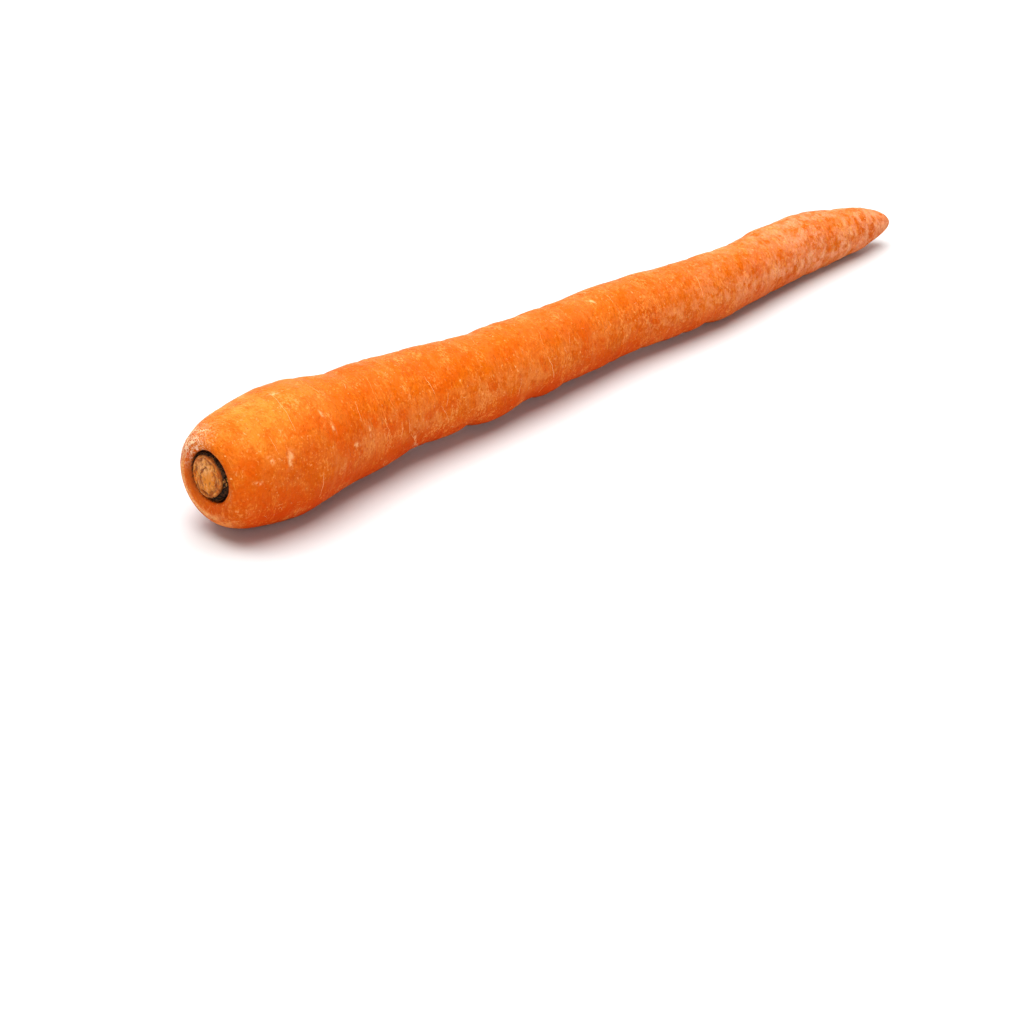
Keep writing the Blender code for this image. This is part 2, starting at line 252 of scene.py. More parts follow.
def curve(points, at):
    """Values at an array of distances, on a curve through the points that never overshoots them."""
    xs, ys = (np.array(column, float) for column in zip(*points))
    slopes = np.diff(ys) / np.diff(xs)
    before, after = slopes[:-1], slopes[1:]
    product = before * after
    total = np.where(before + after == 0, 1, before + after)
    inner = np.where(product <= 0, 0, 2 * product / total)
    tangents = np.concatenate(([slopes[0]], inner, [slopes[-1]]))
    at = np.clip(np.asarray(at, float), xs[0], xs[-1])
    i = np.clip(np.searchsorted(xs, at, side="right") - 1, 0, len(xs) - 2)
    step = xs[i + 1] - xs[i]
    t = (at - xs[i]) / step
    return (
        ys[i] * (1 + 2 * t) * (1 - t) ** 2
        + ys[i + 1] * t * t * (3 - 2 * t)
        + step * tangents[i] * t * (1 - t) ** 2
        - step * tangents[i + 1] * t * t * (1 - t)
    )


def centre(distance):
    distance = np.asarray(distance, float)
    return np.stack([distance - LENGTH / 2, curve(BEND, distance), curve(HEIGHT, distance)], -1)


def radius(distance):
    """The plain taper: a rounded shoulder, a slender body and a blunt nose."""
    distance = np.asarray(distance, float)
    reach = np.clip((SHOULDER_AT - distance) / SHOULDER_AT, 0, 1)
    shoulder = RIM_RADIUS + (SHOULDER_RADIUS - RIM_RADIUS) * np.sqrt(1 - reach * reach)
    body = SHOULDER_RADIUS * curve(TAPER, distance)
    reach = np.clip((distance - (LENGTH - NOSE_LENGTH)) / NOSE_LENGTH, 0, 1)
    nose = np.sqrt(1 - reach * reach)
    return np.where(distance < SHOULDER_AT, shoulder, body * nose)


def circle(sides):
    """Directions all the way round, in radians."""
    return np.linspace(0, 2 * math.pi, sides, endpoint=False)


def turn_from(other, angle):
    """The turn from one direction round the root to another, from -pi to pi."""
    return (angle - other + math.pi) % (2 * math.pi) - math.pi


def turn_between(angle, other):
    """The smaller angle between two directions round the root, in radians."""
    return np.abs(turn_from(other, angle))


def all_swellings():
    """Every swelling in millimetres and radians: the listed ones, and seeded ones on the far side."""
    rng = random.Random(11)
    listed = list(SWELLINGS)
    for k in range(BACK_SWELLINGS):
        at = 14 + (LENGTH - 30) * (k + rng.uniform(0.1, 0.9)) / BACK_SWELLINGS
        height = BACK_HEIGHT * rng.uniform(0.5, 1) * rng.choice((-1, 1))
        listed.append((at, rng.uniform(190, 280), rng.uniform(30, 50), height, rng.uniform(4, 9)))
    return [
        (at, math.radians(angle), math.radians(arc), height, reach)
        for at, angle, arc, height, reach in listed
    ]


def all_creases():
    rng = random.Random(5)
    step = (CREASE_TO - CREASE_FROM) / CREASES
    return [
        (
            CREASE_FROM + step * (k + rng.uniform(0.15, 0.85)),
            rng.uniform(*CREASE_DEPTH),
            rng.uniform(0, 2 * math.pi),
            rng.uniform(1.0, 2.4),
        )
        for k in range(CREASES)
    ]


def plain_relief(distance, angle):
    """How far the solid's own skin stands out from the plain taper."""
    height = np.zeros_like(distance)
    for at, middle, arc, swell, reach in all_swellings():
        near = np.abs(distance - at) < 3 * reach
        along = (distance[near] - at) / reach
        around = turn_between(angle[near], middle) / arc
        height[near] += swell * np.exp(-along * along - around * around)
    for at, depth, middle, arc in all_creases():
        near = np.abs(distance - at) < 3 * CREASE_HALF_WIDTH
        along = (distance[near] - at) / CREASE_HALF_WIDTH
        around = turn_between(angle[near], middle) / arc
        height[near] -= depth * np.exp(-along * along) / (1 + around**6)
    return height * np.minimum(1, radius(distance) / THIN_RADIUS)


def fine_marks(distance, angle):
    """(relief, crease mask) of the fine transverse creases and the small raised lenticels."""
    rng = random.Random(21)
    relief, mask = np.zeros_like(distance), np.zeros_like(distance)
    for _ in range(FINE_CREASES):
        at = rng.uniform(9, LENGTH - 8)
        middle, arc = rng.uniform(0, 2 * math.pi), rng.uniform(0.15, 0.8)
        depth, width = rng.uniform(0.05, 0.16), rng.uniform(0.35, 0.6)
        slant, bow = rng.uniform(-1.2, 1.2), rng.uniform(-0.8, 0.8)
        near = np.abs(distance - at) < 4
        turn = turn_from(middle, angle[near])
        along = (distance[near] - at - slant * turn - bow * turn * turn) / width
        here = np.exp(-along * along) / (1 + (turn / arc) ** 6)
        relief[near] -= depth * here
        mask[near] = np.maximum(mask[near], here)
    for _ in range(LENTICELS):
        at = rng.uniform(7, LENGTH - 6)
        middle = rng.uniform(0, 2 * math.pi)
        reach, arc = rng.uniform(0.35, 0.7), rng.uniform(0.8, 2.2)
        height = rng.uniform(0.04, 0.14) * rng.choice((1, 1, -1))
        near = np.abs(distance - at) < 3
        along = (distance[near] - at) / reach
        around = turn_between(angle[near], middle) * radius(at) / arc
        relief[near] += height * np.exp(-along * along - around * around)
    return relief, mask


def rumple(distance, angle, out):
    """Low noise in the skin, drawn out round the root, in millimetres."""
    values = np.zeros(distance.size)
    flat = zip(distance.ravel(), angle.ravel(), out.ravel())
    for i, (at, turn, reach) in enumerate(flat):
        y, z = reach * math.sin(turn), reach * math.cos(turn)
        for along, around, height, place in RUMPLES:
            here = Vector((at / along, y / around, z / around + place))
            values[i] += height * noise.noise(here)
    return values.reshape(distance.shape)


def axes(distance):
    """Unit vectors along the root, up across it and towards the front, for each distance."""
    along = centre(distance + 2) - centre(distance - 2)
    along /= np.linalg.norm(along, axis=-1, keepdims=True)
    front = np.cross(along, (0, 0, 1))
    front /= np.linalg.norm(front, axis=-1, keepdims=True)
    return along, np.cross(front, along), front


def skin_point(distance, angle, out, shift):
    """Points at a distance along, an angle round and a radius out from a shifted centreline."""
    _, up, front = axes(distance)
    middle = centre(distance)
    middle[..., 1:] += shift
    swing = WAVER * np.sin(angle + distance / WAVER_TWIST)
    swing = swing * np.minimum(1, radius(distance) / WAVER_RADIUS)
    middle[..., 0] += swing * np.clip((distance - WAVER_FROM) / WAVER_OVER, 0, 1)
    return middle + (up * np.cos(angle)[..., None] + front * np.sin(angle)[..., None]) * out[..., None]


def rim_shift(distance):
    fade = np.clip(1 - distance / RIM_FADE, 0, 1)
    fade = fade * fade * (3 - 2 * fade)
    return fade[..., None] * np.array(RIM_OFFSET)


def rim_share(out):
    """0 at the socket's wall, 1 at the rim."""
    return np.clip((out - SOCKET_RADIUS) / (RIM_RADIUS - SOCKET_RADIUS), 0, 1)


def inner_shift(out):
    share = rim_share(out)[..., None]
    return np.array(SOCKET_OFFSET) * (1 - share) + np.array(RIM_OFFSET) * share


def crown_rings():
    """(distance, radius) of the rings from the middle of the socket's floor to the rim."""
    points = np.array(CROWN_PROFILE)
    run = np.concatenate(([0], np.cumsum(np.linalg.norm(np.diff(points, axis=0), axis=1))))
    at = np.linspace(0, run[-1], CROWN_RINGS, endpoint=False)
    return [curve(np.c_[run, column], at) for column in points.T]


def body_distances():
    """Distances of the rings outside the crown, from its rim to just short of the tip."""
    turn = np.linspace(0, math.pi / 2, SHOULDER_RINGS, endpoint=False)
    shoulder = SHOULDER_AT * (1 - np.cos(turn))
    body = np.arange(SHOULDER_AT, LENGTH - NOSE_LENGTH * NOSE_SPLIT, BODY_STEP)
    bearing = np.linspace(math.asin(1 - NOSE_SPLIT), math.pi / 2, NOSE_RINGS, endpoint=False)
    return np.concatenate([shoulder, body, LENGTH - NOSE_LENGTH * (1 - np.sin(bearing))])


def put(name, data):
    """A new object in the scene."""
    made = bpy.data.objects.new(name, data)
    bpy.context.scene.collection.objects.link(made)
    return made


def mesh_piece(name, points, faces):
    """A smooth-shaded object from points in millimetres and lists of corners."""
    mesh = bpy.data.meshes.new(name)
    mesh.from_pydata([tuple(point) for point in np.asarray(points) * MM], [], faces)
    mesh.validate()
    mesh.shade_smooth()
    return put(name, mesh)


def attribute(piece, name, values):
    made = piece.data.attributes.new(name, "FLOAT", "POINT")
    made.data.foreach_set("value", np.asarray(values, np.float32).ravel())


def quads(rings, sides, closed=False):
    """Faces between rings of points in order, and from the last to the first if closed."""
    faces = []
    for r in range(rings if closed else rings - 1):
        low, high = r * sides, (r + 1) % rings * sides
        for k in range(sides):
            after = (k + 1) % sides
            faces.append((low + k, low + after, high + after, high + k))
    return faces


def ring_faces(rings, sides):
    """Quads between rings of points, and the two fans to the end points after them."""
    faces = quads(rings, sides)
    first, last, top = rings * sides, rings * sides + 1, (rings - 1) * sides
    for k in range(sides):
        after = (k + 1) % sides
        faces.append((first, after, k))
        faces.append((last, top + k, top + after))
    return faces


class Skin:
    """The root's fine surface as a grid, which the pieces that lie on it ask for places."""

    def __init__(self):
        angles = circle(SIDES)
        crown_at, crown_out = crown_rings()
        at, turn = np.meshgrid(crown_at, angles, indexing="ij")
        self.crown_at, self.crown_out = at, np.repeat(crown_out[:, None], SIDES, axis=1)
        share = rim_share(self.crown_out)
        lip = np.clip((LIP_DEPTH - at) / LIP_FADE, 0, 1) * (1 - share)
        out = self.crown_out.copy()
        for lobes, phase, size in LIP_RIPPLE:
            out += lip * size * np.sin(lobes * turn + phase)
        out += share * plain_relief(np.zeros_like(at), turn)
        out += 0.25 * share * rumple(at, turn, out)
        crown = skin_point(at, turn, out, inner_shift(crown_out)[:, None, :])
        crown[..., 0] += 0.7 * lip * rumple(3 * at + 5, turn, out)

        self.distances = body_distances()
        self.at, self.turn = np.meshgrid(self.distances, angles, indexing="ij")
        plain = radius(self.at)
        relief, self.crease = fine_marks(self.at, self.turn)
        relief += rumple(self.at, self.turn, plain)
        relief *= np.minimum(1, plain / 6) * np.clip(0.25 + self.at / 6, 0, 1)
        out = plain + plain_relief(self.at, self.turn) + relief
        body = skin_point(self.at, self.turn, out, rim_shift(self.at))

        points = np.concatenate([crown, body])
        low, high = body[..., 1].min(), body[..., 1].max()
        self.shift = np.array([cad_high.x / MM - LENGTH / 2, -(low + high) / 2, 0])
        inside = (np.array(cad_low) / MM + BOX_MARGIN, np.array(cad_high) / MM - BOX_MARGIN)
        inside[0][2] = 0
        self.points = np.clip(points + self.shift, *inside)
        self.body = self.points[len(crown):]
        self.floor = centre(SOCKET_FLOOR) + (0, *SOCKET_OFFSET) + self.shift
        self.tip = np.minimum(centre(LENGTH) + self.shift, inside[1])
        self.box = inside

    def spot(self, distance, angle):
        """(point, outward direction) of the skin at a distance along and an angle round."""
        row = np.interp(distance, self.distances, np.arange(len(self.distances)))
        column = (angle / (2 * math.pi) * SIDES) % SIDES
        r, c = min(int(row), len(self.distances) - 2), int(column)
        u, v = row - r, column - c
        after = (c + 1) % SIDES
        low = self.body[r, c] * (1 - v) + self.body[r, after] * v
        high = self.body[r + 1, c] * (1 - v) + self.body[r + 1, after] * v
        along = self.body[r + 1, c] - self.body[r, c]
        around = self.body[r, after] - self.body[r, c]
        normal = np.cross(around, along)
        normal /= np.linalg.norm(normal) or 1
        axis = centre(distance) + self.shift
        point = low * (1 - u) + high * u
        return point, normal if normal @ (point - axis) > 0 else -normal


def bump_in(angle, middle, half):
    """1 at the middle direction, falling to 0 at half away on either side, all in degrees."""
    away = turn_between(angle, math.radians(middle)) / math.radians(half)
    fall = np.clip(1 - away * away, 0, 1)
    return fall * fall


def patch(at, turn, place):
    """1 in the middle of a patch of the skin, falling to 0 round the root and away along it."""
    distance, reach, middle, half = place
    return bump_in(turn, middle, half) * np.exp(-(((at - distance) / reach) ** 2))


def crest(turn, out):
    """The pale edge of the crown on its far side, at a radius out from the axis: partly worn skin,
    partly a painted rim highlight.
    """
    away = (out - RIM_RADIUS - CREST_OUT) / CREST_REACH
    return 0.95 * np.sqrt(bump_in(turn, *CREST)) * np.exp(-(away**4))


def wear(at, turn):
    """(how far the skin is rubbed pale, with painted reflection on the near flank and along the top
    back edge, how near it is to the tip, how far underneath, for painted shade).
    """
    flank = bump_in(turn, *NEAR_FLANK) + bump_in(turn, *FAR_FLANK)
    # Painted shade: from this far round the root, the underside gets a deeper, darker orange
    under = np.clip((turn_between(turn, 0) - UNDERSIDE_SHADE_FROM) / UNDERSIDE_SHADE_OVER, 0, 1)
    far = np.clip((at - FAR_FROM) / FAR_OVER, 0, 1)
    # Partly painted reflection: the veil on the near flank also stands for the floor's reflection
    rub_and_sheen = 0.14 + 0.50 * flank * np.clip((at - 18) / 20, 0.2, 1)
    # Painted reflection: pale veil along the top back edge for a grazing reflection
    rub_and_sheen += 0.34 * bump_in(turn, *BACK_EDGE_SHEEN) * np.clip(at / 8, 0.3, 1)
    rub_and_sheen += 0.12 * np.clip(at / 90, 0, 1)
    rub_and_sheen = rub_and_sheen * (1 - 0.6 * under) * (1 - far) + far * (1.0 + 0.35 * flank)
    # A paler band at the crown's lower edge: thicker veil, and no underside shade there
    band = patch(at, turn, LOWER_CROWN_BAND)
    return rub_and_sheen + 1.5 * band, far, under * (1 - 0.85 * far) * (1 - band)


def scar_mask(at, turn):
    """1 inside the small scars, which narrow as they go round the root, and 0 outside them."""
    scars = np.zeros_like(at)
    for distance, middle, half_along, half_round, slant in SCARS:
        across = turn_from(math.radians(middle), turn) * radius(distance)
        along = (at - distance - slant * across) / half_along
        narrowing = np.clip(1 - 0.35 * across / half_round, 0.3, 2)
        scars = np.maximum(scars, np.exp(-((along / narrowing) ** 4) - (across / half_round) ** 4))
    return scars


def taproot(skin):
    """The orange root, with masks on its points for what the material shows where."""
    points = np.concatenate([skin.points.reshape(-1, 3), [skin.floor], [skin.tip]])
    piece = mesh_piece("carrot_root", points, ring_faces(len(skin.points), SIDES))
    at, turn = skin.at, skin.turn
    none = np.zeros_like(skin.crown_at)
    crown_turn = turn[: len(none)]

    def mask(name, body, crown=none, floor=0, tip=0):
        flat = [np.ravel(crown), np.ravel(body), [floor], [tip]]
        attribute(piece, name, np.concatenate(flat))

    mask("crease", skin.crease)
    rub_and_sheen, far, under = wear(at, turn)
    mask("rub_and_sheen", rub_and_sheen, none + 0.1, 0.1, 1)
    mask("far", far, tip=1)
    mask("under", under)
    mask("lit_crown", patch(at, turn, LIT_CROWN_PATCH) + 0.5 * patch(at, turn, LIT_NECK_PATCH))
    mask("clean", patch(at, turn, CLEAN_CROWN))
    # Painted light on the top of the root
    mask("lit_top", bump_in(turn, *LIT_TOP_DIRECTION), tip=0.5)

    inner = bump_in(crown_turn, *FLAKY_CROWN[2:]) * np.clip((1.1 - skin.crown_at) / 0.5, 0, 1)
    mask("flaky", patch(at, turn, FLAKY_CROWN), inner)
    # Painted rim highlight on the crown's far edge, and a fainter pale band along its lower edge
    edge = np.where(at < RIM_FADE, crest(turn, radius(at)), 0)
    edge += 0.35 * patch(at, turn, LOWER_EDGE)
    mask("rim", edge, crest(crown_turn, skin.crown_out))

    # Painted shade: reddish brown on the socket's far wall, and deep in the socket
    wall_shade = np.clip((SOCKET_WALL_SHADE_RADIUS - skin.crown_out) / 1.6, 0, 1) ** 1.4
    wall_shade = 0.7 * bump_in(crown_turn, *SOCKET_WALL_SHADE) * wall_shade
    pit_shade = np.maximum(np.clip((skin.crown_at - 0.75) / 0.5, 0, 1), wall_shade)
    mask("pit_shade", np.zeros_like(at), pit_shade, 1)
    mask("tip", np.exp(-(((LENGTH - at) / TIP_REACH) ** 2)), tip=1)
    mask("scar", scar_mask(at, turn))

    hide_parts("taproot")
    return piece


def tube(points, radii, sides, flatness=1.0):
    """(points, quads) of a closed tube through points, with a radius at each, in millimetres."""
    points = np.asarray(points, float)
    along = np.gradient(points, axis=0)
    along /= np.linalg.norm(along, axis=1, keepdims=True) + 1e-12
    across = np.cross(along, (0.31, 0.17, 0.93))
    across /= np.linalg.norm(across, axis=1, keepdims=True) + 1e-12
    over = np.cross(across, along)
    made = []
    for k in range(sides):
        turn = 2 * math.pi * k / sides
        side = across * math.cos(turn) + over * math.sin(turn) * flatness
        made.append(points + side * np.asarray(radii)[:, None])
    rings = np.stack(made, axis=1)
    faces = quads(len(points), sides)
    faces.append(tuple(range(sides))[::-1])
    top = (len(points) - 1) * sides
    faces.append(tuple(top + k for k in range(sides)))
    return rings.reshape(-1, 3), faces


class Bundle:
    """Many small tubes gathered into one mesh, each with a tone of its own."""

    def __init__(self, box):
        self.box = box
        self.points, self.faces, self.tones, self.count = [], [], [], 0

    def add(self, points, radii, sides, tone, flatness=1.0):
        rings, faces = tube(points, radii, sides, flatness)
        self.points.append(rings)
        self.faces += [tuple(corner + self.count for corner in face) for face in faces]
        self.tones += [tone] * len(rings)
        self.count += len(rings)

    def piece(self, name):
        made = mesh_piece(name, np.clip(np.concatenate(self.points), *self.box), self.faces)
        attribute(made, "tone", self.tones)
        return made


def skin_fibres(skin):
    """Fine pale rootlets that lie on the skin, most of them round it."""
    rng = random.Random(31)
    bundle = Bundle(skin.box)
    laid = list(LAID_FIBRES)
    for _ in range(SCATTERED_FIBRES):
        at = rng.uniform(8, LENGTH - 12)
        start = rng.uniform(0, 360)
        end_at = at + rng.uniform(-1.6, 1.6)
        laid.append((at, start, end_at, start + rng.uniform(6, 26), 0.028))
    for _ in range(CROWN_FLAKES):
        at = 0.25 + 4.2 * rng.random() ** 1.6
        start = rng.gauss(318, 15)
        size = rng.uniform(0.035, 0.085)
        end_at = max(0.2, at + rng.uniform(-0.7, 0.7))
        laid.append((at, start, end_at, start + rng.uniform(4, 13), size))
    for at, start, end_at, end, size in laid:
        steps = max(8, int(abs(end - start) / 2.2))
        wander, phase = rng.uniform(0.05, 0.35), rng.uniform(0, 6.3)
        points, radii = [], []
        for k in range(steps + 1):
            t = k / steps
            distance = at + (end_at - at) * t + wander * math.sin(3.1 * t + phase)
            distance += 0.08 * math.sin(17 * t + phase)
            point, normal = skin.spot(distance, math.radians(start + (end - start) * t))
            thickness = size * (0.45 + 0.55 * math.sin(math.pi * t) ** 0.5)
            points.append(point + normal * thickness * 0.35)
            radii.append(thickness)
        if min(point[2] for point in points) > 0.15:
            bundle.add(points, radii, 5, 1.0 if at < 5 else 0.8 * rng.random())
    return bundle.piece("skin_fibres")


def root_hairs(skin):
    """Short hairs that stand off the skin, scattered all over it and in a few tufts."""
    rng = random.Random(47)
    bundle = Bundle(skin.box)
    roots = []
    for _ in range(LOOSE_HAIRS):
        roots.append((rng.uniform(1, LENGTH - 5), rng.uniform(0, 360), rng.uniform(0.35, 1.0)))
    for at, angle, number, spread in HAIR_TUFTS:
        for _ in range(number):
            place = (at + rng.gauss(0, spread), angle + rng.gauss(0, 3 * spread))
            roots.append((*place, rng.uniform(0.8, 2.0)))
    for at, angle, length in roots:
        point, normal = skin.spot(max(0.5, at), math.radians(angle))
        lean = np.array([rng.gauss(0, 0.7), rng.gauss(0, 0.7), rng.gauss(0, 0.5)])
        curl = np.array([rng.gauss(0, 1), rng.gauss(0, 1), rng.gauss(0, 1)])
        points, here, heading = [], point - normal * 0.05, normal * 0.9 + lean
        for _ in range(HAIR_STEPS):
            points.append(here)
            heading = heading / np.linalg.norm(heading)
            here = here + heading * length / HAIR_STEPS
            heading = heading + curl * HAIR_CURL
        points = np.array(points)
        size = rng.uniform(0.018, 0.035)
        if (points > skin.box[0] + 0.05).all() and (points < skin.box[1] - 0.05).all():
            bundle.add(points, np.linspace(size, size * 0.35, HAIR_STEPS), 4, rng.random())
    return bundle.piece("root_hairs")


def in_crown(skin, depth, out, angle, offset):
    """Points in the crown: depth inward from the rim, and out from an axis at an offset."""
    along, up, front = axes(np.array(0.0))
    angle, out, depth = np.broadcast_arrays(*map(np.asarray, (angle, out, depth)))
    middle = centre(0) + np.array((0, *offset)) + skin.shift
    around = up * np.cos(angle)[..., None] + front * np.sin(angle)[..., None]
    return middle + along * depth[..., None] + around * out[..., None]


def in_ring(skin, depth, angle, share, inner_gap, outer_gap):
    """A point between the stub and the socket's wall, from a gap off the one to a gap off the other."""
    inside = in_crown(skin, depth, FACE_RADIUS + inner_gap, angle, FACE_OFFSET)
    outside = in_crown(skin, depth, SOCKET_RADIUS - outer_gap, angle, SOCKET_OFFSET)
    return inside + (outside - inside) * share


def wobble(x, y, times, layer):
    """Noise at a place, with its features that many times finer, from a layer of its own."""
    return noise.noise(Vector((times * x, times * y, layer)))


def leaf_base_ring(skin):
    """The dark ring of old leaf bases, with a torn upper edge."""
    rows = []
    for k in range(COLLAR_SIDES):
        angle = 2 * math.pi * k / COLLAR_SIDES
        x, y = math.cos(angle), math.sin(angle)
        tear = 0.34 * wobble(x, y, 6, 1.5) + 0.22 * wobble(x, y, 21, 4.5)
        for depth, share, torn in COLLAR_SECTION:
            rows.append(in_ring(skin, depth - tear * torn, angle, share, 0.06, 0.4))
    faces = quads(COLLAR_SIDES, len(COLLAR_SECTION), closed=True)
    ring = mesh_piece("leaf_base_ring", rows, faces)
    attribute(ring, "tone", np.full(len(rows), 0.15))
    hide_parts("leaf_base_collar")
    return ring


def leaf_base_shreds(skin):
    """Torn shreds that stand out of the ring, and a few pale bits that lie among them."""
    rng = random.Random(61)
    bundle = Bundle(skin.box)
    for _ in range(SHREDS):
        angle = rng.uniform(0, 2 * math.pi)
        share = rng.uniform(0.1, 0.95)
        foot, length = rng.uniform(1.1, 1.6), rng.uniform(0.6, 1.5)
        swing, lean = rng.uniform(-0.12, 0.12), rng.uniform(-0.25, 0.25)
        points = []
        for t in np.linspace(0, 1, len(SHRED_TAPER)):
            reach = min(1.0, max(0.0, share + lean * t))
            turn = angle + swing * t * t
            points.append(in_ring(skin, foot - length * t, turn, reach, 0.1, 0.35))
        size = rng.uniform(0.04, 0.12)
        bundle.add(points, size * np.array(SHRED_TAPER), 6, rng.random() ** 1.4, 0.5)
    for angle, share, foot, length, size, tone in PALE_SHREDS:
        points = []
        for t in np.linspace(-0.5, 0.5, len(PALE_TAPER)):
            turn = math.radians(angle) + t * length / 6
            inside = in_crown(skin, foot, FACE_RADIUS + 0.1, turn, FACE_OFFSET)
            outside = in_crown(skin, foot + 0.1, SOCKET_RADIUS - 0.25, turn, SOCKET_OFFSET)
            points.append(inside + (outside - inside) * share)
        bundle.add(points, size * np.array(PALE_TAPER), 7, tone, 0.7)
    return bundle.piece("leaf_base_shreds")


def smooth(value, low, high):
    share = min(1.0, max(0.0, (value - low) / (high - low)))
    return share * share * (3 - 2 * share)


def stub_face(x, y):
    """(relief, groove, heart, cream) of the cut face at a place on it, from -1 to 1 each way.

    x runs towards -Y and y upwards. A heart lies in two uneven sheaths, each ending in a worn edge.
    """
    bent_x, bent_y = x + 0.16 * wobble(x, y, 2.3, 3), y + 0.16 * wobble(x, y, 2.3, 6)
    ragged = 0.13 * wobble(x, y, 7, 9) + 0.07 * wobble(x, y, 17, 10)
    heart = math.hypot((bent_x - 0.10) / 0.52, (bent_y + 0.18) / 0.62) + ragged
    inner = math.hypot((bent_x - 0.02) / 0.80, (bent_y + 0.02) / 0.84) + 0.7 * ragged
    wrap = wobble(x, y, 1.9, 12)
    groove = smooth(wrap, -0.25, 0.30) * math.exp(-(((heart - 1) / 0.16) ** 2))
    groove = max(groove, smooth(-wrap, -0.45, 0.1) * math.exp(-(((inner - 1) / 0.09) ** 2)))
    across, along = x + 0.5 * y, y - 0.5 * x
    fold = noise.noise(Vector((5.5 * across, 2.0 * along, 15)))
    fold += 0.5 * noise.noise(Vector((14 * across, 6 * along, 17)))
    groove = max(groove, 0.8 * smooth(fold, 0.26, 0.60))
    lumps = 0.12 * wobble(x, y, 4.2, 18) + 0.09 * wobble(x, y, 10, 21) + 0.05 * wobble(x, y, 23, 24)
    rise = 0.26 * (1 - smooth(heart, 0.3, 1.05)) - 0.10 * smooth(inner, 0.55, 0.95)
    rise += 0.26 * math.exp(-(((math.hypot(x, y) - 0.88) / 0.07) ** 2)) * (0.6 + wrap)
    cream = math.exp(-(((x + 0.12) / 0.42) ** 2) - (((y - 0.48) / 0.30) ** 2))
    return rise + lumps - 0.26 * groove, groove, 1 - smooth(heart, 0.4, 1.15), cream


def leaf_stalk_stub(skin):
    """The cut stub: a low dome whose face shows the sheaths of the leaves, one in another."""
    foot = SOCKET_FLOOR - GAP
    shares = np.linspace(0.965, 0.015, STUB_RINGS)
    angles = circle(STUB_SIDES)
    ragged = [0.03 * wobble(math.cos(a), math.sin(a), 3, 2) for a in angles]
    edge = FACE_RADIUS * (0.985 + np.minimum(0.015, np.array(ragged)))
    edge += FACE_BULGE * bump_in(angles, *BULGE_SIDE)
    rows, masks = [], []
    for rise, share in STUB_SIDE:
        rows.append(in_crown(skin, foot - STUB_HEIGHT * rise, edge * share, angles, FACE_OFFSET))
        masks.append(np.tile((0.35, 0.0, 0.0, 1.0), (STUB_SIDES, 1)))
    for share in shares:
        face = np.array([stub_face(share * math.sin(a), share * math.cos(a)) for a in angles])
        dome = 0.12 * (1 - share**2) - 0.30 * max(0.0, share - 0.88) / 0.1
        high = foot - STUB_HEIGHT - dome - face[:, 0] * min(1, 5 * (1 - share) + 0.3)
        rows.append(in_crown(skin, np.maximum(high, 0.02), edge * share, angles, FACE_OFFSET))
        outer = np.full((STUB_SIDES, 1), smooth(share, 0.90, 0.965))
        masks.append(np.concatenate([face[:, 1:], outer], axis=1))
    ends = [in_crown(skin, foot, 0.0, 0.0, FACE_OFFSET), rows[-1].mean(axis=0)]
    points = np.clip(np.concatenate([*rows, ends]), *skin.box)
    piece = mesh_piece("leaf_stalk_face", points, ring_faces(len(rows), STUB_SIDES))
    masks = np.concatenate([*masks, [masks[0][0]], [masks[-1].mean(axis=0)]])
    for column, name in enumerate(("groove", "heart", "cream", "side")):
        attribute(piece, name, masks[:, column])
    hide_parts("leaf_stalk_stub")
    return piece


# ---- Materials


